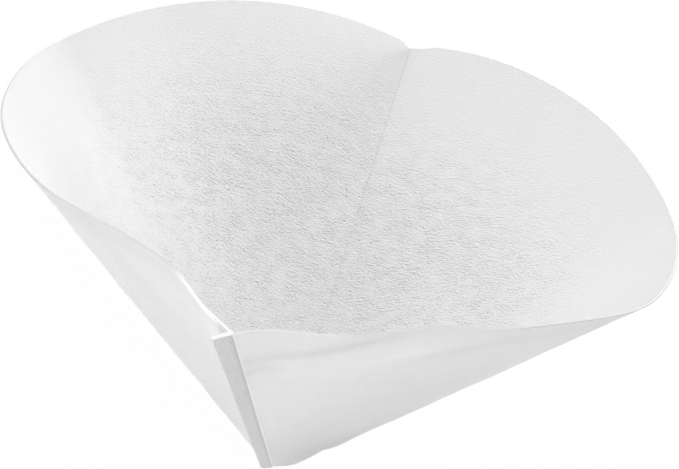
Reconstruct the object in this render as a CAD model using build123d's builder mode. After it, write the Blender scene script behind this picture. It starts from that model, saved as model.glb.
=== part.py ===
"""Fryer oil filter cone: one nonwoven sheet, folded once, sealed along one edge and opened.

The cone lies as it comes to rest, on the flat stretch of wall beside its crease.
The frame's origin is the point that the walls run to, the table is Z = 0, and the
mouth opens towards -Y and up.
"""
from build123d import *

import os
from math import atan, cos, pi, sin, tan

os.makedirs("parts", exist_ok=True)

# The sheet
slant = 190.5  # from the walls' common point to the rim, along the sheet: the folded half's radius
sheet = 0.8  # thickness of the nonwoven
pressed = 0.05  # what the resting wall loses where it is pressed flat on the table

# The seam: the sheet's two straight edges, face to face and sealed, stand out from the wall
seam_width = 6.5  # at the rim
seam_tip_width = 4.2  # at the lower end
seam_layers = 2
seam_lean = 8.0  # degrees that it leans away from the wall that it continues
seam_start = 11.0  # from the walls' common point to the seam's lower end
seam_corner_share = 0.95  # rounding of its lower corner, as a share of its width there

# The closed tip
tip_radius = 10.5
tip_bands = 4  # straight bands that its rounding is made of

# How the opened cone lies
axis_rise = 35.0  # degrees from the table up to the cone's axis

# The opened cone's outline, seen down its axis, as shares of the distance along the axis
base_share = tan(axis_rise * pi / 180)  # the resting wall, and the seam as far above the axis
side_share = 0.662  # the crease and the seam, either side of the axis
lift_share = 0.434  # where the resting wall leaves the table
table_half_shares = [
    (0.656, -0.536),
    (0.786, -0.319),
    (0.831, -0.119),
    (0.824, 0.075),
    (0.753, 0.276),
    (0.705, 0.391),
    (0.681, 0.495),
    (0.681, 0.588),
]
upper_half_shares = [
    (0.581, 0.719),
    (0.527, 0.743),
    (0.416, 0.790),
    (0.292, 0.809),
    (0.190, 0.819),
    (0.062, 0.853),
    (-0.046, 0.863),
    (-0.232, 0.859),
    (-0.444, 0.820),
    (-0.665, 0.634),
    (-0.736, 0.501),
    (-0.754, 0.187),
    (-0.752, -0.109),
    (-0.709, -0.367),
    (-0.679, -0.591),
]
wall_share = 0.79  # the outline's mean distance from the axis

wall_slope = atan(wall_share)
wall_step = sheet / sin(wall_slope)  # the hollow is the same cone, this far up the axis
common_point = Plane((0, 0, -pressed))
axis_plane = common_point.rotated((90 - axis_rise, 0, 0))


def outline(depth, reach):
    """The outline as a face, depth along the axis, as large as walls give it after reach."""
    crease = (-side_share * reach, -base_share * reach)
    lift = (lift_share * reach, -base_share * reach)
    seam = (side_share * reach, base_share * reach)
    table_half = [(x * reach, y * reach) for x, y in table_half_shares]
    upper_half = [(x * reach, y * reach) for x, y in upper_half_shares]
    into_seam = (seam[0] - table_half[-1][0], seam[1] - table_half[-1][1])
    with BuildSketch(axis_plane.offset(depth)) as section:
        with BuildLine():
            Line(crease, lift)
            Spline(lift, *table_half, seam, tangents=((1, 0), into_seam))
            Spline(seam, *upper_half, crease)
        make_face()
    return section.sketch.face()


def cone_sections(start):
    """The tip's rounding and the mouth, for walls that run to a point at start on the axis."""
    centre = start + tip_radius / sin(wall_slope)
    sections = [Vertex(*axis_plane.offset(centre - tip_radius).origin)]
    for band in range(1, tip_bands + 1):
        turn = (pi / 2 - wall_slope) * band / tip_bands
        depth = centre - tip_radius * cos(turn)
        sections.append(outline(depth, tip_radius * sin(turn) / wall_share))
    return [*sections, outline(start + slant, slant)]


mouth_plane = axis_plane.offset(slant)
seam_end = mouth_plane.from_local_coords((side_share * slant, base_share * slant))
wall_end = mouth_plane.from_local_coords(tuple(share * slant for share in upper_half_shares[0]))
seam_line = Axis(common_point.origin, seam_end - common_point.origin)
wall_normal = seam_line.direction.cross(wall_end - seam_end)
seam_normal = wall_normal.rotate(seam_line, seam_lean)
seam_plane = Plane(seam_line.position, seam_line.direction, seam_normal)
seam_corners = [
    (seam_start, 0),
    (slant + sheet, 0),
    (slant + sheet, -seam_width),
    (seam_start, -seam_tip_width),
]

with BuildPart() as filter_cone:
    loft(cone_sections(0), ruled=True)
    with BuildSketch(seam_plane) as seam:
        Polygon(*seam_corners)
        free_corner = seam.vertices().group_by(Axis.X)[0].sort_by(Axis.Y)[0]
        fillet(free_corner, seam_corner_share * seam_tip_width)
    extrude(amount=seam_layers * sheet)
    loft(cone_sections(wall_step), ruled=True, mode=Mode.SUBTRACT)
    Sphere(slant, mode=Mode.INTERSECT)
    split(bisect_by=Plane.XY, keep=Keep.TOP)

filter_cone.part.label = "filter_cone"
export_step(filter_cone.part, "parts/filter_cone.step")
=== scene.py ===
import math

import bmesh
import bpy
import numpy as np
from bpy.props import FloatProperty, FloatVectorProperty, PointerProperty
from mathutils import Matrix, Vector


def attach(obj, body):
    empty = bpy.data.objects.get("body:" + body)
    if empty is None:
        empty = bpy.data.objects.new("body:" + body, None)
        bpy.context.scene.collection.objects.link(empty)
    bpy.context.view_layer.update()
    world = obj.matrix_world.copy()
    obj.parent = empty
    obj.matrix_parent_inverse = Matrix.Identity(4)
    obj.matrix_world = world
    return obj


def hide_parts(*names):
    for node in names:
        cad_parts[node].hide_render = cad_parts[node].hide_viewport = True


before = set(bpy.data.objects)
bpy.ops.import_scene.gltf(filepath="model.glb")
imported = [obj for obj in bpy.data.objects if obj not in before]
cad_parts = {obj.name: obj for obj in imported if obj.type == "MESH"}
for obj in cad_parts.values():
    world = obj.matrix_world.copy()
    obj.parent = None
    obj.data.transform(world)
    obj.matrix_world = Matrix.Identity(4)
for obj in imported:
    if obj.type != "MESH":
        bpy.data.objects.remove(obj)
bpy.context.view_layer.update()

bl_info = {
    "name": "Fryer Oil Filter Cone",
    "version": (1, 0, 0),
    "blender": (4, 5, 0),
    "location": "View3D > Sidebar > Filter Cone",
    "description": "Builds an opened cone of nonwoven filter sheet and its plain stage",
    "category": "Object",
}

# The opened cone's outline, seen down its axis, as shares of the distance along the axis
AXIS_RISE = math.radians(35)
BASE_SHARE = math.tan(AXIS_RISE)
SIDE_SHARE = 0.662
LIFT_SHARE = 0.434
TABLE_HALF = [
    (0.656, -0.536),
    (0.786, -0.319),
    (0.831, -0.119),
    (0.824, 0.075),
    (0.753, 0.276),
    (0.705, 0.391),
    (0.681, 0.495),
    (0.681, 0.588),
]
UPPER_HALF = [
    (0.581, 0.719),
    (0.527, 0.743),
    (0.416, 0.790),
    (0.292, 0.809),
    (0.190, 0.819),
    (0.062, 0.853),
    (-0.046, 0.863),
    (-0.232, 0.859),
    (-0.444, 0.820),
    (-0.665, 0.634),
    (-0.736, 0.501),
    (-0.754, 0.187),
    (-0.752, -0.109),
    (-0.709, -0.367),
    (-0.679, -0.591),
]
WALL_SHARE = 0.79
CREASE = (-SIDE_SHARE, -BASE_SHARE)
LIFT_OFF = (LIFT_SHARE, -BASE_SHARE)
SEAM = (SIDE_SHARE, BASE_SHARE)

AXIS = np.array([0, -math.cos(AXIS_RISE), math.sin(AXIS_RISE)])
ACROSS = np.array([1.0, 0, 0])
UPWARD = np.array([0, math.sin(AXIS_RISE), math.cos(AXIS_RISE)])

# The seam on the flat sheet, and how it stands
SEAM_ANGLE = math.radians(-119.33)
SEAM_LEAN = math.radians(8)  # away from the wall that it continues
SEAM_START = 0.011  # metres from the walls' common point
SEAM_CORNER_SHARE = 0.95  # rounding of its lower corner, as a share of its width there
SEAM_LEAST_WIDTH = 0.0004  # at the end of that rounding

# How finely the mesh is divided
COLUMNS_PER_HALF = 180
TIP_ROWS = 10
WALL_ROWS = 100
SEAM_ROWS = 96

# The mesh's materials, in the order of their slots
OUTSIDE, INSIDE, CUT_EDGE, SEALED_SEAM = range(4)

# Long soft folds in the wall beside the seam: their line (degrees round from the crease, mm from
# the walls' point, height in mm, outwards), and how wide they are towards the rim and the tip
FOLDS = [
    (
        [
            (-119.5, 156.5, -0.9),
            (-115.0, 157.0, -1.0),
            (-111.0, 162.0, -1.0),
            (-108.0, 171.0, -1.0),
            (-103.5, 179.0, -0.8),
            (-97.0, 187.0, 0.0),
        ],
        4.2,
        17.0,
    ),
    (
        [
            (-110.0, 147.0, 0.0),
            (-103.0, 150.0, -0.6),
            (-96.0, 153.0, -0.9),
            (-90.0, 166.0, -0.9),
            (-84.0, 175.0, -0.5),
            (-78.0, 184.0, 0.0),
        ],
        4.5,
        18.0,
    ),
    ([(-119.5, 143.0, -0.6), (-116.0, 146.0, -0.5), (-112.5, 149.0, 0.0)], 2.6, 7.0),
]

# Soft waves: place (degrees, mm), half lengths (mm round, mm along), turn (degrees), height (mm)
WAVES = [
    (-104.0, 122.0, 26.0, 9.0, -6.0, 0.7),
    (-112.0, 92.0, 14.0, 8.0, 0.0, -0.6),
    (-98.0, 88.0, 20.0, 8.0, 18.0, 0.5),
    (97.5, 150.0, 4.5, 28.0, 12.4, -0.7),
    (107.0, 140.0, 9.0, 34.0, 8.0, 0.5),
    (106.0, 84.0, 8.0, 20.0, 0.0, -0.3),
    (-74.0, 29.0, 5.0, 4.0, 0.0, -0.7),
    (-78.0, 38.0, 5.0, 5.0, 0.0, 0.5),
    (-96.0, 40.0, 6.0, 12.0, 0.0, -0.6),
    (-106.0, 46.0, 5.0, 14.0, 0.0, 0.5),
]

# Where the waves die away: degrees beside the crease and the seam, mm from the walls' point
# beside the tip and the rim, and degrees round from the crease, over the table
CREASE_CALM = 7.0
SEAM_CALM = 4.5
TIP_CALM = (14.0, 30.0)
RIM_CALM = (176.0, 190.0)
RIM_STIFFNESS = 0.75
TABLE_CALM = (46.0, 66.0)
RESTING_TURN = 52.0  # the wall lies on the table from the crease round to here
SHEET_MIDDLE = -1.35  # degrees: the halves beside the crease are a little unequal
CALM_SPAN = 119.3  # degrees from the sheet's middle to just past the seam

# The rim's shallow flat at the crease: its depth in metres, and mm round from the crease
RIM_DIP = 0.0014
DIP_STARTS = (-14, -5)
DIP_ENDS = (1, 5.5)

# Painted shading on the outer wall: painted shade along its folds and in broad places, and painted
# light beside the seam and between the folds: lines and soft places as above, with the share by
# which the wall is lighter in place of the height
OUTER_PAINTED_SHADING_LINES = [
    (
        [
            (-119.5, 157.0, -0.05),
            (-115.3, 160.0, -0.11),
            (-112.8, 164.0, -0.12),
            (-110.3, 170.0, -0.14),
            (-107.8, 176.0, -0.16),
            (-105.3, 181.0, -0.15),
            (-102.0, 184.5, -0.08),
            (-98.0, 187.0, -0.02),
        ],
        5.0,
        5.0,
    ),
    (
        [
            (-100.0, 150.0, 0.0),
            (-95.3, 160.0, -0.11),
            (-92.8, 167.0, -0.12),
            (-89.0, 176.0, -0.07),
            (-78.0, 182.0, -0.05),
        ],
        5.5,
        6.5,
    ),
    ([(-119.5, 143.0, -0.08), (-116.0, 146.0, -0.06), (-112.5, 149.0, 0.0)], 2.6, 2.6),
]
OUTER_PAINTED_SHADING_PLACES = [
    (-103.5, 155.0, 20.0, 13.0, 10.0, 0.055),
    (-98.0, 161.0, 6.0, 6.0, 0.0, 0.05),
    (-118.6, 110.0, 3.2, 90.0, 0.0, 0.05),
    (-82.0, 92.0, 24.0, 52.0, 0.0, -0.1),
    (-104.0, 34.0, 16.0, 22.0, 0.0, -0.1),
    (-79.0, 38.0, 7.0, 24.0, 0.0, -0.15),
    (-74.0, 172.0, 9.0, 14.0, 0.0, -0.09),
    (96.5, 156.0, 5.0, 26.0, 12.0, -0.045),
    (115.8, 180.0, 3.0, 14.0, 0.0, 0.12),
    (113.0, 172.0, 9.0, 18.0, 0.0, 0.06),
    (114.5, 70.0, 5.0, 60.0, 0.0, 0.18),
]

# Painted light on the inner wall, in the same terms
INNER_PAINTED_LIGHT_PLACES = [
    (48.0, 110.0, 19.0, 34.0, 0.0, 0.23),
    (42.0, 165.0, 16.0, 24.0, 0.0, 0.06),
    (-60.0, 145.0, 22.0, 30.0, 0.0, 0.05),
    (-35.0, 90.0, 11.0, 11.0, 0.0, 0.12),
]

# The fibres on the flat sheet: degrees off the roll's direction, length in metres, a shift that
# makes each set its own, and its share
FIBRE_SETS = [(0, 0.0032, 0.0, 0.4), (-34, 0.0024, 0.31, 0.35), (34, 0.0024, 0.57, 0.33)]
FIBRE_WIDTH = 0.0004
FIBRE_CURL = 0.0013
CLOUD_SIZE = (0.0045, 0.007)

# Looks that go by the place on the flat sheet: degrees round from the crease, either way
CALM_SIDES = (math.radians(30), math.radians(66))  # where the fibres' contrast fades out
RIM_HIGHLIGHT_ANGLES = (math.radians(106.5), math.radians(110.5))  # where the cut edge and the face by the rim are painted white, a painted highlight
# Where the cut edge's outer corner is painted darker, a painted shade
RIM_SHADE_ANGLES = (math.radians(40), math.radians(55), math.radians(86), math.radians(94))

# The camera, as the fit of the photo gives it, and the point that the lamps face
CAMERA_PLACE = (0.40715, -0.05869, 0.77867)
CAMERA_TURN = tuple(math.radians(turn) for turn in (6.377, -29.541, 171.438))
LAMP_AIM = Vector((0, -0.08, 0.07))


class FILTERCONE_PG_sheet(bpy.types.PropertyGroup):
    """Sizes and colours of the folded and sealed sheet"""

    slant: FloatProperty(
        name="Slant",
        description="From the walls' common point to the rim, along the sheet",
        default=0.1905,
        min=0.05,
        max=0.5,
        unit="LENGTH",
    )
    thickness: FloatProperty(
        name="Thickness",
        description="Thickness of the nonwoven sheet",
        default=0.0008,
        min=0.0003,
        max=0.002,
        unit="LENGTH",
    )
    tip_radius: FloatProperty(
        name="Tip Radius",
        description="Rounding of the closed tip",
        default=0.0105,
        min=0.003,
        max=0.02,
        unit="LENGTH",
    )
    seam_width: FloatProperty(
        name="Seam Width",
        description="Width of the sealed seam at the rim",
        default=0.0065,
        min=0.002,
        max=0.012,
        unit="LENGTH",
    )
    seam_tip_width: FloatProperty(
        name="Seam Width at Tip",
        description="Width of the sealed seam at its lower end",
        default=0.0042,
        min=0.001,
        max=0.012,
        unit="LENGTH",
    )
    waviness: FloatProperty(
        name="Waviness",
        description="How strongly the soft walls wave",
        default=1.0,
        min=0.0,
        max=2.0,
        subtype="FACTOR",
    )
    fibre_color: FloatVectorProperty(
        name="Fibre Colour",
        description="Colour where the fibres lie thick",
        subtype="COLOR",
        size=3,
        min=0.0,
        max=1.0,
        default=(0.95, 0.95, 0.95),
    )
    thin_color: FloatVectorProperty(
        name="Thin Colour",
        description="Colour where the fibres lie thin",
        subtype="COLOR",
        size=3,
        min=0.0,
        max=1.0,
        default=(0.235, 0.235, 0.235),
    )
    edge_color: FloatVectorProperty(
        name="Cut Edge Colour",
        description="Colour of the fluffy cut edge",
        subtype="COLOR",
        size=3,
        min=0.0,
        max=1.0,
        default=(1.0, 1.0, 1.0),
    )
    # Darker than the wall: in part the seam's own tone, in part painted shade
    seam_color: FloatVectorProperty(
        name="Seam Colour",
        description="Colour of the pressed and sealed seam",
        subtype="COLOR",
        size=3,
        min=0.0,
        max=1.0,
        default=(0.77, 0.77, 0.775),
    )


class FILTERCONE_PG_stage(bpy.types.PropertyGroup):
    """Floor, lamps and camera"""

    floor_size: FloatProperty(
        name="Floor Size",
        description="Side of the square floor",
        default=6.0,
        min=1.0,
        max=20.0,
        unit="LENGTH",
    )
    surround: FloatProperty(
        name="Surround",
        description="Strength of the even light from all round",
        default=0.18,
        min=0.0,
        max=2.0,
    )
    overhead: FloatProperty(
        name="Overhead Lamp",
        description="Power of the wide lamp above the mouth",
        default=8.4,
        min=0.0,
        max=100.0,
        unit="POWER",
    )
    crease_side: FloatProperty(
        name="Crease Side Lamp",
        description="Power of the soft lamp on the crease's side",
        default=16.4,
        min=0.0,
        max=100.0,
        unit="POWER",
    )
    seam_side: FloatProperty(
        name="Seam Side Lamp",
        description="Power of the soft lamp on the seam's side",
        default=4.9,
        min=0.0,
        max=100.0,
        unit="POWER",
    )
    mouth_side: FloatProperty(
        name="Mouth Side Lamp",
        description="Power of the soft lamp in front of the mouth",
        default=11.6,
        min=0.0,
        max=100.0,
        unit="POWER",
    )
    tip_side: FloatProperty(
        name="Tip Side Lamp",
        description="Power of the low lamp behind the tip",
        default=12.9,
        min=0.0,
        max=100.0,
        unit="POWER",
    )
    lens: FloatProperty(
        name="Lens",
        description="Focal length of the camera on a 36 mm frame",
        default=116.64,
        min=20.0,
        max=300.0,
        unit="CAMERA",
    )


def curve_through(points, samples, start=None, end=None):
    """A cubic spline through the points, with set or free end directions."""
    points = np.array(points, float)
    steps = np.hypot(*np.diff(points, axis=0).T)
    slopes = np.diff(points, axis=0) / steps[:, None]
    count = len(points)
    matrix, right = np.zeros((count, count)), np.zeros((count, 2))
    for i in range(1, count - 1):
        matrix[i, i - 1 : i + 2] = steps[i - 1], 2 * (steps[i - 1] + steps[i]), steps[i]
        right[i] = 6 * (slopes[i] - slopes[i - 1])
    matrix[0, 0] = matrix[-1, -1] = 1
    if start is not None:
        matrix[0, :2] = 2 * steps[0], steps[0]
        right[0] = 6 * (slopes[0] - start)
    if end is not None:
        matrix[-1, -2:] = steps[-1], 2 * steps[-1]
        right[-1] = 6 * (end - slopes[-1])
    bends = np.linalg.solve(matrix, right)
    knots = np.r_[0, np.cumsum(steps)]
    at = np.linspace(0, knots[-1], samples)
    i = np.clip(np.searchsorted(knots, at, side="right") - 1, 0, count - 2)
    low, high, h = (knots[i + 1] - at)[:, None], (at - knots[i])[:, None], steps[i][:, None]
    return (
        (bends[i] * low**3 + bends[i + 1] * high**3) / (6 * h)
        + (points[i] / h - bends[i] * h / 6) * low
        + (points[i + 1] / h - bends[i + 1] * h / 6) * high
    )


def ruling(outline):
    """The walls' straight lines, one for each outline point, from their common point."""
    return outline[:, :1] * ACROSS + outline[:, 1:] * UPWARD + AXIS


def unit(vectors):
    """The vectors at length 1."""
    return vectors / np.linalg.norm(vectors, axis=-1, keepdims=True)


def even_columns(outline, count):
    """Outline points evenly spaced on the flat sheet, with their flat angles from the first."""
    lines = unit(ruling(outline))
    turns = np.arccos(np.clip((lines[1:] * lines[:-1]).sum(1), -1, 1))
    angles = np.r_[0, np.cumsum(turns)]
    even = np.linspace(0, angles[-1], count + 1)
    return np.stack([np.interp(even, angles, outline[:, k]) for k in (0, 1)], 1), even


def sheet_columns():
    """The outline round from the seam past the crease to the seam, and its flat angles."""
    into_seam = unit(np.array(SEAM) - np.array(TABLE_HALF[-1]))
    turn_up = curve_through([LIFT_OFF, *TABLE_HALF, SEAM], 1500, np.array([1.0, 0]), into_seam)
    resting = np.linspace(CREASE, LIFT_OFF, 400)[:-1]
    upper = curve_through([SEAM, *UPPER_HALF, CREASE], 2500)
    table_points, table_angles = even_columns(np.vstack([resting, turn_up]), COLUMNS_PER_HALF)
    upper_points, upper_angles = even_columns(upper[::-1], COLUMNS_PER_HALF)
    points = np.vstack([table_points[::-1], upper_points[1:]])
    angles = np.r_[table_angles[::-1], -upper_angles[1:]]
    return points, angles


def outward_normals(points, angles):
    """The sheet's outward normal along each straight line, one side of each fold."""
    lines = unit(ruling(points))
    fold = COLUMNS_PER_HALF
    normals = np.zeros_like(lines)
    for part in (slice(0, fold + 1), slice(fold, len(points))):
        along = np.gradient(lines[part], axis=0)
        normals[part] = unit(np.cross(lines[part], along))
    away = lines - (lines @ AXIS)[:, None] * AXIS
    signs = np.sign((normals * away).sum(1))
    return normals * signs[:, None]


def smooth_step(low, high, value):
    """Eases from 0 to 1 as the value goes from low to high."""
    share = np.clip((value - low) / (high - low), 0, 1)
    return share * share * (3 - 2 * share)


def along_path(degrees, places, values):
    """Values along a fold's line, eased at its corners."""
    shifts = (-1.5, -1.0, -0.5, 0.0, 0.5, 1.0, 1.5)
    return sum(np.interp(degrees + shift, places, values) for shift in shifts) / len(shifts)


def soft_marks(lines, places, degrees, far):
    """The sum of soft marks along lines and round places on the flat sheet."""
    marks = np.zeros_like(far)
    for path, above, below in lines:
        turns, reaches, sizes = zip(*path)
        gap = far - along_path(degrees, turns, reaches)
        size = along_path(degrees, turns, sizes)
        marks += size * np.exp(-((gap / np.where(gap > 0, above, below)) ** 2) / 2)
    for centre, out, half_round, half_along, turn, size in places:
        side = np.radians(degrees - centre) * far
        along = far - out
        c, s = math.cos(math.radians(turn)), math.sin(math.radians(turn))
        u, v = (c * side + s * along) / half_round, (c * along - s * side) / half_along
        marks += size * np.exp(-(u * u + v * v) / 2)
    return marks


def wave_height(angle, reach):
    """How far the sheet stands out from its straight walls, in metres."""
    degrees = np.degrees(angle)
    far = reach * 1000
    height = soft_marks(FOLDS, WAVES, degrees, far)
    side = np.radians(degrees) * far
    ripple = (
        0.12 * np.sin(side / 13.0 + 0.6) * np.sin(far / 19.0 + 1.3)
        + 0.07 * np.sin(side / 7.9 + far / 16.0 + 2.1)
        + 0.04 * np.sin(side / 5.1 - far / 9.0 + 0.4)
    )
    height += ripple * smooth_step(15, 60, far)
    height *= smooth_step(0, CREASE_CALM, np.abs(degrees))
    height *= smooth_step(0, SEAM_CALM, CALM_SPAN - np.abs(degrees - SHEET_MIDDLE))
    height *= smooth_step(*TIP_CALM, far)
    height *= 1 - RIM_STIFFNESS * smooth_step(*RIM_CALM, far)
    calm = np.where(degrees > 0, smooth_step(*TABLE_CALM, degrees), 1.0)
    resting = (degrees > 0) & (degrees < RESTING_TURN)
    return np.where(resting, 0.0, height * calm) / 1000


def rim_dip(angle, slant):
    """The rim's shallow flat at the crease, in metres along the sheet."""
    side = angle * slant * 1000
    return RIM_DIP * smooth_step(*DIP_STARTS, side) * (1 - smooth_step(*DIP_ENDS, side))


def wall_rows(points, angles, settings, inner):
    """Rows of points over one face of the sheet, from the tip to the rim."""
    slope = math.atan(WALL_SHARE)
    shift = settings.thickness / math.sin(slope) if inner else 0.0
    centre = settings.tip_radius / math.sin(slope)
    lines = ruling(points)
    normals = outward_normals(points, angles)
    rows = []
    for band in range(1, TIP_ROWS + 1):
        turn = (math.pi / 2 - slope) * band / TIP_ROWS
        depth = centre - settings.tip_radius * math.cos(turn)
        reach = settings.tip_radius * math.sin(turn) / WALL_SHARE
        rows.append(depth * AXIS + reach * (lines - AXIS))
    start = centre - settings.tip_radius * math.sin(slope)
    length2 = (lines**2).sum(1)
    rim = settings.slant - rim_dip(angles, settings.slant)
    last = (-shift + np.sqrt(shift**2 - length2 * (shift**2 - rim**2))) / length2
    rows_out = np.linspace(0, 1, WALL_ROWS + 1)[1:-1] ** 0.72  # closer together towards the rim
    for share in np.r_[rows_out, 0.9985, 1.0]:
        at = start + (last - start) * share
        reach = at * np.sqrt(length2)
        lift = wave_height(angles, reach) * settings.waviness
        rows.append(at[:, None] * lines + lift[:, None] * normals)
    rows = np.array(rows) + shift * AXIS
    tip = (centre - settings.tip_radius + shift) * AXIS
    return tip, rows


def add_wall(mesh, settings):
    """Both faces of the sheet and its cut rim, closed at the tip."""
    points, ring = sheet_columns()
    points, angles = points[:-1], ring[:-1]
    uv = mesh.loops.layers.uv.verify()
    painted_shading = mesh.verts.layers.float.new("painted_shading")
    count = len(points)
    faces = []
    for inner in (False, True):
        tip, rows = wall_rows(points, angles, settings, inner)
        rows[:, :, 2] = np.maximum(rows[:, :, 2], 0.0)
        tip_vert = mesh.verts.new(tip)
        grid = [[mesh.verts.new(p) for p in row] for row in rows]
        reach = np.linalg.norm(rows, axis=2)
        # Painted shading: each point of a face carries the share by which the material paints it
        # lighter or darker
        lines = [] if inner else OUTER_PAINTED_SHADING_LINES
        places = INNER_PAINTED_LIGHT_PLACES if inner else OUTER_PAINTED_SHADING_PLACES
        painted_shading_shares = soft_marks(lines, places, np.degrees(angles), reach * 1000)
        for row, shares in zip(grid, painted_shading_shares):
            for vert, share in zip(row, shares):
                vert[painted_shading] = share
        faces.append((tip_vert, grid, reach))
    for inner, (tip_vert, grid, reach) in enumerate(faces):
        material = INSIDE if inner else OUTSIDE
        for k in range(count):
            n = (k + 1) % count
            flat = (ring[k], ring[k + 1])
            corners = [tip_vert, grid[0][k], grid[0][n]]
            polar = [(0, 0), (flat[0], reach[0][k]), (flat[1], reach[0][n])]
            place_face(mesh, uv, corners, polar, material, inner)
            for r in range(len(grid) - 1):
                corners = [grid[r][k], grid[r + 1][k], grid[r + 1][n], grid[r][n]]
                polar = [
                    (flat[0], reach[r][k]),
                    (flat[0], reach[r + 1][k]),
                    (flat[1], reach[r + 1][n]),
                    (flat[1], reach[r][n]),
                ]
                place_face(mesh, uv, corners, polar, material, inner)
    outer, inside = faces[0][1][-1], faces[1][1][-1]
    far, near = settings.slant, settings.slant - settings.thickness
    for k in range(count):
        n = (k + 1) % count
        corners = [outer[k], inside[k], inside[n], outer[n]]
        polar = [(ring[k], far), (ring[k], near), (ring[k + 1], near), (ring[k + 1], far)]
        place_face(mesh, uv, corners, polar, CUT_EDGE, False)
    mark_sharp(mesh, [(outer[k], outer[(k + 1) % count]) for k in range(count)])
    mark_sharp(mesh, [(inside[k], inside[(k + 1) % count]) for k in range(count)])
    for _, grid, _ in faces:
        for column in (0, COLUMNS_PER_HALF):
            line = [row[column] for row in grid]
            mark_sharp(mesh, list(zip(line[TIP_ROWS:-1], line[TIP_ROWS + 1 :])))


def place_face(mesh, uv, corners, polar, material, flip):
    """One face with its place on the flat sheet, in metres from the walls' common point."""
    if flip:
        corners, polar = corners[::-1], polar[::-1]
    face = mesh.faces.new(corners)
    face.material_index = material
    face.smooth = True
    for loop, (angle, reach) in zip(face.loops, polar):
        loop[uv].uv = reach * math.cos(angle), reach * math.sin(angle)


def mark_sharp(mesh, pairs):
    """Keeps the shading sharp along the edges between pairs of points."""
    for a, b in pairs:
        edge = mesh.edges.get((a, b))
        if edge:
            edge.smooth = False


def seam_width(share, reach, settings):
    """How wide the seam stands, a share of the way up it, with its lower corner rounded."""
    tip_width = settings.seam_tip_width
    corner = tip_width * SEAM_CORNER_SHARE
    gap = corner - min(reach - SEAM_START, corner)
    rounding = corner - math.sqrt(max(corner**2 - gap**2, 0.0))
    width = tip_width + (settings.seam_width - tip_width) * share - rounding
    return max(width, SEAM_LEAST_WIDTH)


def seam_section(width, thick):
    """The seam cut across: how far out from the wall and how deep, round its two layers."""
    edge = thick * 0.6  # pressed thinner along its free edge
    bevel, groove, into_wall = 0.00012, 0.0003, 0.0004
    return [
        (-into_wall, 0.0001),
        (width * 0.25, 0.0),
        (width * 0.5, 0.00003),
        (width * 0.75, 0.0),
        (width - bevel, 0.0),
        (width, bevel),
        (width, edge * 0.38),
        (width - groove, edge * 0.5),
        (width, edge * 0.62),
        (width, edge - bevel),
        (width - bevel, edge),
        (width * 0.66, thick * 0.7),
        (width * 0.33, thick * 0.85),
        (-into_wall, thick),
    ]


def add_seam(mesh, settings):
    """The two layers of the sealed seam, with the groove between them along the free edge."""
    uv = mesh.loops.layers.uv.verify()
    seam_line = unit(ruling(np.array([SEAM])))[0]
    wall_line = ruling(np.array([UPPER_HALF[0]]))[0] - ruling(np.array([SEAM]))[0]
    inward = unit(np.cross(seam_line, wall_line))
    lean = Matrix.Rotation(SEAM_LEAN, 3, Vector(seam_line))
    inward = np.array(lean @ Vector(inward))
    away = -np.cross(inward, seam_line)
    start, stop = SEAM_START, settings.slant
    rows, places = [], []
    for share in np.linspace(0, 1, SEAM_ROWS) ** 1.02:
        at = start + (stop - start) * share
        section = seam_section(seam_width(share, at, settings), 2 * settings.thickness)
        wave = 0.00022 * math.sin(at * 95 + 0.5) * smooth_step(0.02, 0.06, at)
        row = []
        for out, deep in section:
            bend = wave * max(out, 0.0) / settings.seam_width
            row.append(at * seam_line + away * out + inward * (deep + bend))
        rows.append([mesh.verts.new(p) for p in row])
        places.append([(at, out) for out, _ in section])
    count = len(rows[0])
    along_x, along_y = math.cos(SEAM_ANGLE), math.sin(SEAM_ANGLE)
    for r in range(SEAM_ROWS - 1):
        for k in range(count):
            corners = [(r, k), (r + 1, k), (r + 1, (k + 1) % count), (r, (k + 1) % count)]
            face = mesh.faces.new([rows[i][j] for i, j in corners])
            face.material_index = SEALED_SEAM
            face.smooth = True
            for loop, (i, j) in zip(face.loops, corners):
                at, out = places[i][j]
                loop[uv].uv = at * along_x + out * along_y, at * along_y - out * along_x
    for row, cap in ((rows[0], SEALED_SEAM), (rows[-1], CUT_EDGE)):
        face = mesh.faces.new(row)
        face.material_index = cap
        for loop in face.loops:  # painted white like the painted highlight on the rim beside it
            loop[uv].uv = stop * along_x, -stop * along_y
        mark_sharp(mesh, list(zip(row, row[1:] + row[:1])))
    for column in (4, 5, 9, 10):  # the bevels
        line = [row[column] for row in rows]
        mark_sharp(mesh, list(zip(line[:-1], line[1:])))


def shader(material):
    """An empty node tree with its output."""
    material.use_nodes = True
    nodes = material.node_tree.nodes
    nodes.clear()
    output = nodes.new("ShaderNodeOutputMaterial")
    return nodes, material.node_tree.links, output


def math_node(nodes, links, operation, first, second=None, third=None):
    """One step of arithmetic. Each input is a socket or a number."""
    node = nodes.new("ShaderNodeMath")
    node.operation = operation
    for socket, value in zip(node.inputs, (first, second, third)):
        if value is None:
            continue
        if isinstance(value, (int, float)):
            socket.default_value = value
        else:
            links.new(value, socket)
    return node.outputs[0]


def ease(nodes, links, value, start, stop, first, last):
    """Eases from the first value to the last as the input goes from start to stop."""
    node = nodes.new("ShaderNodeMapRange")
    node.interpolation_type = "SMOOTHSTEP"
    names = ("From Min", "From Max", "To Min", "To Max")
    for name, setting in zip(names, (start, stop, first, last)):
        node.inputs[name].default_value = setting
    links.new(value, node.inputs["Value"])
    return node.outputs["Result"]


def mixed(nodes, links, share, first, second):
    """Two colours mixed by a share. Each is a socket or three numbers."""
    mix = nodes.new("ShaderNodeMix")
    mix.data_type = "RGBA"
    links.new(share, mix.inputs["Factor"])
    for name, color in (("A", first), ("B", second)):
        if isinstance(color, bpy.types.NodeSocket):
            links.new(color, mix.inputs[name])
        else:
            mix.inputs[name].default_value = (*color, 1)
    return mix.outputs["Result"]


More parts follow.
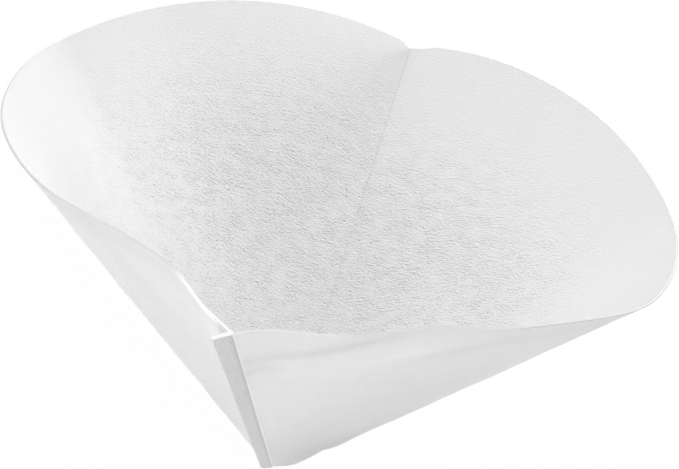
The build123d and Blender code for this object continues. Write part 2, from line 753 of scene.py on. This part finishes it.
def scaled(color, share):
    """A colour made lighter or darker."""
    return [part * share for part in color]


def flat_place(nodes):
    """The place on the flat sheet, in metres from the walls' common point."""
    place = nodes.new("ShaderNodeUVMap")
    place.uv_map = "UVMap"
    return place.outputs["UV"]


def flat_parts(nodes, links, flat):
    """A flat place's x, y, distance from the walls' point, and angle off the crease either way."""
    split = nodes.new("ShaderNodeSeparateXYZ")
    links.new(flat, split.inputs["Vector"])
    x, y = split.outputs["X"], split.outputs["Y"]
    x2 = math_node(nodes, links, "MULTIPLY", x, x)
    reach = math_node(nodes, links, "SQRT", math_node(nodes, links, "MULTIPLY_ADD", y, y, x2))
    angle = math_node(nodes, links, "ARCTAN2", math_node(nodes, links, "ABSOLUTE", y), x)
    return x, y, reach, angle


def stretched(nodes, links, flat, scale, turn=0.0, shift=0.0):
    """Places on the flat sheet, stretched along and across a direction."""
    mapping = nodes.new("ShaderNodeMapping")
    mapping.vector_type = "TEXTURE"
    mapping.inputs["Location"].default_value = (shift, shift * 0.7, 0)
    mapping.inputs["Rotation"].default_value = (0, 0, math.radians(turn))
    mapping.inputs["Scale"].default_value = (*scale, 1)
    links.new(flat, mapping.inputs["Vector"])
    return mapping.outputs["Vector"]


def flat_noise(nodes, links, vector, detail):
    """Noise over the flat sheet, from 0 to 1."""
    noise = nodes.new("ShaderNodeTexNoise")
    noise.noise_dimensions = "2D"
    noise.inputs["Scale"].default_value = 1.0
    noise.inputs["Detail"].default_value = detail
    links.new(vector, noise.inputs["Vector"])
    return noise.outputs["Fac"]


def streaks(nodes, links, flat, turn, length, shift):
    """Fine fibres in one direction on the flat sheet, lit from one side: below and above 0."""
    here = stretched(nodes, links, flat, (FIBRE_WIDTH, length), turn, shift)
    beside = nodes.new("ShaderNodeVectorMath")
    beside.inputs[1].default_value = (0.8, 0, 0)
    links.new(here, beside.inputs[0])
    sides = [flat_noise(nodes, links, vector, 1.0) for vector in (here, beside.outputs["Vector"])]
    return math_node(nodes, links, "SUBTRACT", *sides)


def curled(nodes, links, flat):
    """Places on the flat sheet, shifted so that the fibres curl."""
    bend = nodes.new("ShaderNodeTexNoise")
    bend.inputs["Scale"].default_value = 300.0
    bend.inputs["Detail"].default_value = 1.0
    links.new(flat, bend.inputs["Vector"])
    centred = nodes.new("ShaderNodeVectorMath")
    centred.operation = "SUBTRACT"
    centred.inputs[1].default_value = (0.5, 0.5, 0.5)
    links.new(bend.outputs["Color"], centred.inputs[0])
    moved = nodes.new("ShaderNodeVectorMath")
    moved.operation = "MULTIPLY_ADD"
    moved.inputs[1].default_value = (FIBRE_CURL, FIBRE_CURL, 0)
    links.new(centred.outputs["Vector"], moved.inputs[0])
    links.new(flat, moved.inputs[2])
    return moved.outputs["Vector"]


def fibres(nodes, links, flat, clouds):
    """Fibres along the roll and across it, in thicker and thinner patches: below and above 0."""
    curl = curled(nodes, links, flat)
    total = 0.0
    for turn, length, shift, share in FIBRE_SETS:
        fine = streaks(nodes, links, curl, turn, length, shift)
        total = math_node(nodes, links, "MULTIPLY_ADD", fine, share, total)
    cloud = flat_noise(nodes, links, stretched(nodes, links, flat, CLOUD_SIZE), 2.0)
    patch = math_node(nodes, links, "MULTIPLY_ADD", cloud, -1.4, 1.7)
    total = math_node(nodes, links, "MULTIPLY", total, patch)
    clouded = math_node(nodes, links, "MULTIPLY_ADD", cloud, clouds, -clouds / 2)
    return math_node(nodes, links, "ADD", total, clouded)


def fibre_relief(nodes, links, total, strength, depth):
    """The fibres as a fine relief."""
    relief = nodes.new("ShaderNodeBump")
    relief.inputs["Strength"].default_value = strength
    relief.inputs["Distance"].default_value = depth
    links.new(total, relief.inputs["Height"])
    return relief.outputs["Normal"]


def let_light_through(nodes, links, body, color, share, output):
    """Mixes the body with light that comes through the sheet."""
    through = nodes.new("ShaderNodeBsdfTranslucent")
    through.inputs["Color"].default_value = (*color, 1)
    both = nodes.new("ShaderNodeMixShader")
    both.inputs["Fac"].default_value = share
    links.new(body.outputs["BSDF"], both.inputs[1])
    links.new(through.outputs["BSDF"], both.inputs[2])
    links.new(both.outputs["Shader"], output.inputs["Surface"])


def fibre_contrast(nodes, links, upper, reach, angle, contrast, rim_contrast, side_share):
    """The fibres' contrast: less towards the rim, the tip and the sides."""
    sooner = 0.014  # metres: on the upper half it fades out this much nearer the tip
    out = math_node(nodes, links, "MULTIPLY_ADD", upper, sooner, reach)
    by_reach = ease(nodes, links, out, 0.118, 0.19, contrast, rim_contrast)
    near_tip = ease(nodes, links, reach, 0.045, 0.09, 0.5, 1.0)
    by_reach = math_node(nodes, links, "MULTIPLY", by_reach, near_tip)
    by_angle = ease(nodes, links, angle, *CALM_SIDES, 1.0, side_share)
    return math_node(nodes, links, "MULTIPLY", by_reach, by_angle)


def nonwoven_material(name, settings, contrast, rim_contrast, side_share, bump, clouds):
    """One face of the sheet: its fibres and painted shading, a painted white highlight by the rim,
    painted shade along the crease and a painted highlight beside the seam.
    """
    material = bpy.data.materials.new(name)
    nodes, links, output = shader(material)
    flat = flat_place(nodes)
    total = fibres(nodes, links, flat, clouds)
    x, y, reach, angle = flat_parts(nodes, links, flat)
    upper = math_node(nodes, links, "LESS_THAN", y, 0.0)
    gain = fibre_contrast(nodes, links, upper, reach, angle, contrast, rim_contrast, side_share)
    middle = math_node(nodes, links, "MULTIPLY_ADD", gain, 0.004, 0.8)
    density = math_node(nodes, links, "MULTIPLY_ADD", total, gain, middle)
    # Painted shading: the points' shares paint the sheet lighter or darker in place of light and
    # shade
    painted_shading = nodes.new("ShaderNodeAttribute")
    painted_shading.attribute_name = "painted_shading"
    density = math_node(nodes, links, "MULTIPLY_ADD", painted_shading.outputs["Fac"], 1.2, density)
    color = mixed(nodes, links, density, settings.thin_color, settings.fibre_color)

    # Painted highlight: the face near the rim is painted white beside the seam, on the lower half
    rim_highlight_share = ease(nodes, links, angle, *RIM_HIGHLIGHT_ANGLES, 0.0, 1.0)
    lower = math_node(nodes, links, "SUBTRACT", 1.0, upper)
    rim_highlight_share = math_node(nodes, links, "MULTIPLY", rim_highlight_share, lower)
    near_rim = ease(nodes, links, reach, settings.slant - 0.0065, settings.slant - 0.004, 0.0, 1.0)
    near_rim = math_node(nodes, links, "MULTIPLY", near_rim, rim_highlight_share)
    color = mixed(nodes, links, near_rim, color, settings.edge_color)

    # Painted shade: a thin darker line along the crease
    off_crease = math_node(nodes, links, "ABSOLUTE", y)
    crease_shade = ease(nodes, links, off_crease, 0.0008, 0.0002, 0.0, 0.12)
    color = mixed(nodes, links, crease_shade, color, scaled(settings.thin_color, 0.88))

    # Painted highlight: a light line on the upper half's wall beside the seam's root
    off_seam = math_node(nodes, links, "MULTIPLY", x, math.sin(SEAM_ANGLE))
    off_seam = math_node(nodes, links, "MULTIPLY_ADD", y, -math.cos(SEAM_ANGLE), off_seam)
    off_seam = math_node(nodes, links, "ABSOLUTE", off_seam)
    pressed = ease(nodes, links, off_seam, 0.001, 0.0004, 0.0, 0.6)
    pressed = math_node(nodes, links, "MULTIPLY", pressed, upper)
    color = mixed(nodes, links, pressed, color, scaled(settings.edge_color, 0.98))

    body = nodes.new("ShaderNodeBsdfPrincipled")
    body.inputs["Roughness"].default_value = 0.95
    body.inputs["Specular IOR Level"].default_value = 0.15
    body.inputs["Sheen Weight"].default_value = 0.05
    body.inputs["Sheen Roughness"].default_value = 0.6
    links.new(color, body.inputs["Base Color"])
    links.new(fibre_relief(nodes, links, total, bump, 0.0003), body.inputs["Normal"])
    let_light_through(nodes, links, body, (0.9, 0.9, 0.9), 0.25, output)
    return material


def edge_material(settings):
    """The cut edge: a painted highlight, white beside the seam, and painted shade, darker along its
    outer corner.
    """
    material = bpy.data.materials.new("cut edge")
    nodes, links, output = shader(material)
    _, y, reach, angle = flat_parts(nodes, links, flat_place(nodes))
    # Painted highlight: the cut edge painted white beside the seam, darker elsewhere
    white = ease(nodes, links, angle, *RIM_HIGHLIGHT_ANGLES, 0.0, 1.0)
    lower = math_node(nodes, links, "GREATER_THAN", y, 0.0)
    share = math_node(nodes, links, "MULTIPLY_ADD", lower, 0.65, 0.35)
    white = math_node(nodes, links, "MULTIPLY", white, share)
    color = mixed(nodes, links, white, scaled(settings.edge_color, 0.74), settings.edge_color)
    # Painted shade: the rim's outer corner darkened over part of its length
    corner = ease(nodes, links, reach, settings.slant - 0.0004, settings.slant, 0.0, 0.75)
    sideways = ease(nodes, links, angle, *RIM_SHADE_ANGLES[:2], 0.0, 1.0)
    forward = ease(nodes, links, angle, *RIM_SHADE_ANGLES[2:], 1.0, 0.0)
    corner_shade = math_node(nodes, links, "MULTIPLY", sideways, forward)
    corner_shade = math_node(nodes, links, "MULTIPLY", corner_shade, corner)
    color = mixed(nodes, links, corner_shade, color, scaled(settings.edge_color, 0.3))
    body = nodes.new("ShaderNodeBsdfPrincipled")
    body.inputs["Roughness"].default_value = 1.0
    body.inputs["Specular IOR Level"].default_value = 0.1
    links.new(color, body.inputs["Base Color"])
    links.new(body.outputs["BSDF"], output.inputs["Surface"])
    return material


def seam_material(settings):
    """Two layers pressed together, with the same fibres: darker than the wall, in part their own
    tone and in part painted shade for the light that the two layers keep out.
    """
    material = bpy.data.materials.new("sealed seam")
    nodes, links, output = shader(material)
    total = fibres(nodes, links, flat_place(nodes), 0.08)
    density = math_node(nodes, links, "MULTIPLY_ADD", total, 3.0, 0.5)
    color = mixed(
        nodes, links, density, scaled(settings.seam_color, 0.8), scaled(settings.seam_color, 1.2)
    )
    body = nodes.new("ShaderNodeBsdfPrincipled")
    body.inputs["Roughness"].default_value = 0.85
    body.inputs["Specular IOR Level"].default_value = 0.2
    links.new(color, body.inputs["Base Color"])
    links.new(fibre_relief(nodes, links, total, 0.3, 0.0002), body.inputs["Normal"])
    let_light_through(nodes, links, body, settings.seam_color, 0.3, output)
    return material


def seen_directly(nodes, links):
    """1 for what the camera, a reflection or light through the sheet meets, and 0 for the rest."""
    rays = nodes.new("ShaderNodeLightPath").outputs
    seen = math_node(nodes, links, "ADD", rays["Is Camera Ray"], rays["Is Glossy Ray"])
    return math_node(nodes, links, "ADD", seen, rays["Is Transmission Ray"])


def floor_material():
    """A white floor that keeps the object's shadow."""
    material = bpy.data.materials.new("white floor")
    nodes, links, output = shader(material)
    sweep = nodes.new("ShaderNodeBsdfDiffuse")
    sweep.inputs["Color"].default_value = (0.9, 0.9, 0.9, 1)
    glow = nodes.new("ShaderNodeEmission")
    glow.inputs["Color"].default_value = (1, 1, 1, 1)
    glow.inputs["Strength"].default_value = 1.0
    share = math_node(nodes, links, "MULTIPLY", seen_directly(nodes, links), 0.98)
    mix = nodes.new("ShaderNodeMixShader")
    links.new(share, mix.inputs["Fac"])
    links.new(sweep.outputs["BSDF"], mix.inputs[1])
    links.new(glow.outputs["Emission"], mix.inputs[2])
    links.new(mix.outputs["Shader"], output.inputs["Surface"])
    return material


def white_surround(strength):
    """A world that shows white and lights evenly, with the given strength."""
    world = bpy.data.worlds.new("white surround")
    world.use_nodes = True
    nodes, links = world.node_tree.nodes, world.node_tree.links
    nodes.clear()
    output = nodes.new("ShaderNodeOutputWorld")
    light = nodes.new("ShaderNodeBackground")
    light.inputs["Color"].default_value = (1, 1, 1, 1)
    light.inputs["Strength"].default_value = strength
    white = nodes.new("ShaderNodeBackground")
    white.inputs["Color"].default_value = (1, 1, 1, 1)
    white.inputs["Strength"].default_value = 1.0
    mix = nodes.new("ShaderNodeMixShader")
    links.new(seen_directly(nodes, links), mix.inputs["Fac"])
    links.new(light.outputs["Background"], mix.inputs[1])
    links.new(white.outputs["Background"], mix.inputs[2])
    links.new(mix.outputs["Shader"], output.inputs["Surface"])
    return world


def area_lamp(name, place, size, power):
    """A square lamp aimed at the cone's middle."""
    data = bpy.data.lights.new(name, "AREA")
    data.shape = "SQUARE"
    data.size = size
    data.energy = power
    lamp = bpy.data.objects.new(name, data)
    bpy.context.collection.objects.link(lamp)
    lamp.location = place
    lamp.rotation_euler = (LAMP_AIM - Vector(place)).to_track_quat("-Z", "Y").to_euler()
    return lamp


class FILTERCONE_OT_cone(bpy.types.Operator):
    """Build the opened cone with its seam"""

    bl_idname = "filter_cone.cone"
    bl_label = "Filter Cone"

    def execute(self, context):
        settings = context.scene.filter_cone
        data = bpy.data.meshes.new("nonwoven cone")
        mesh = bmesh.new()
        mesh.loops.layers.uv.new("UVMap")
        add_wall(mesh, settings)
        add_seam(mesh, settings)
        bmesh.ops.recalc_face_normals(mesh, faces=mesh.faces)
        mesh.to_mesh(data)
        mesh.free()
        cone = bpy.data.objects.new("nonwoven_cone", data)
        context.collection.objects.link(cone)
        outside = nonwoven_material(
            "nonwoven outside",
            settings,
            contrast=0.5,
            rim_contrast=0.35,
            side_share=0.9,
            bump=0.15,
            clouds=0.2,
        )
        inside = nonwoven_material(
            "nonwoven inside",
            settings,
            contrast=3.7,
            rim_contrast=0.6,
            side_share=0.3,
            bump=0.25,
            clouds=0.06,
        )
        data.materials.append(outside)
        data.materials.append(inside)
        data.materials.append(edge_material(settings))
        data.materials.append(seam_material(settings))
        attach(cone, "root")
        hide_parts("filter_cone")
        return {"FINISHED"}


class FILTERCONE_OT_stage(bpy.types.Operator):
    """Lay the white floor and set the lamps and the camera"""

    bl_idname = "filter_cone.stage"
    bl_label = "Stage"

    def execute(self, context):
        settings = context.scene.filter_cone_stage
        half = settings.floor_size / 2
        data = bpy.data.meshes.new("floor")
        corners = [(-half, -half, 0), (half, -half, 0), (half, half, 0), (-half, half, 0)]
        data.from_pydata(corners, [], [(0, 1, 2, 3)])
        floor = bpy.data.objects.new("floor", data)
        context.collection.objects.link(floor)
        data.materials.append(floor_material())
        lamps = [
            area_lamp("overhead_lamp", (0.1, -0.3, 1.4), 1.2, settings.overhead),
            area_lamp("crease_side_lamp", (-1.38, -0.1, 0.5), 1.0, settings.crease_side),
            area_lamp("seam_side_lamp", (1.4, -0.1, 0.4), 1.0, settings.seam_side),
            area_lamp("mouth_side_lamp", (0, -1.5, 0.6), 1.0, settings.mouth_side),
            area_lamp("tip_side_lamp", (0.5, 1.17, 0.12), 0.9, settings.tip_side),
        ]
        context.scene.world = white_surround(settings.surround)
        context.scene.view_settings.view_transform = "Standard"
        data = bpy.data.cameras.new("camera")
        data.lens = settings.lens
        data.sensor_width = 36
        data.clip_start = 0.01
        camera = bpy.data.objects.new("camera", data)
        context.collection.objects.link(camera)
        camera.location = CAMERA_PLACE
        camera.rotation_euler = CAMERA_TURN
        context.scene.camera = camera
        return {"FINISHED"}


class FILTERCONE_PT_panel(bpy.types.Panel):
    """The cone and its stage"""

    bl_label = "Filter Cone"
    bl_idname = "FILTERCONE_PT_panel"
    bl_space_type = "VIEW_3D"
    bl_region_type = "UI"
    bl_category = "Filter Cone"

    def draw(self, context):
        layout = self.layout
        sheet = context.scene.filter_cone
        for name in FILTERCONE_PG_sheet.__annotations__:
            layout.prop(sheet, name)
        layout.operator(FILTERCONE_OT_cone.bl_idname)
        stage = context.scene.filter_cone_stage
        for name in FILTERCONE_PG_stage.__annotations__:
            layout.prop(stage, name)
        layout.operator(FILTERCONE_OT_stage.bl_idname)


CLASSES = (
    FILTERCONE_PG_sheet,
    FILTERCONE_PG_stage,
    FILTERCONE_OT_cone,
    FILTERCONE_OT_stage,
    FILTERCONE_PT_panel,
)


def register():
    for cls in CLASSES:
        bpy.utils.register_class(cls)
    bpy.types.Scene.filter_cone = PointerProperty(type=FILTERCONE_PG_sheet)
    bpy.types.Scene.filter_cone_stage = PointerProperty(type=FILTERCONE_PG_stage)


def unregister():
    del bpy.types.Scene.filter_cone_stage
    del bpy.types.Scene.filter_cone
    for cls in reversed(CLASSES):
        bpy.utils.unregister_class(cls)


def main():
    register()
    bpy.ops.filter_cone.cone()
    bpy.ops.filter_cone.stage()


if __name__ == "__main__":
    main()
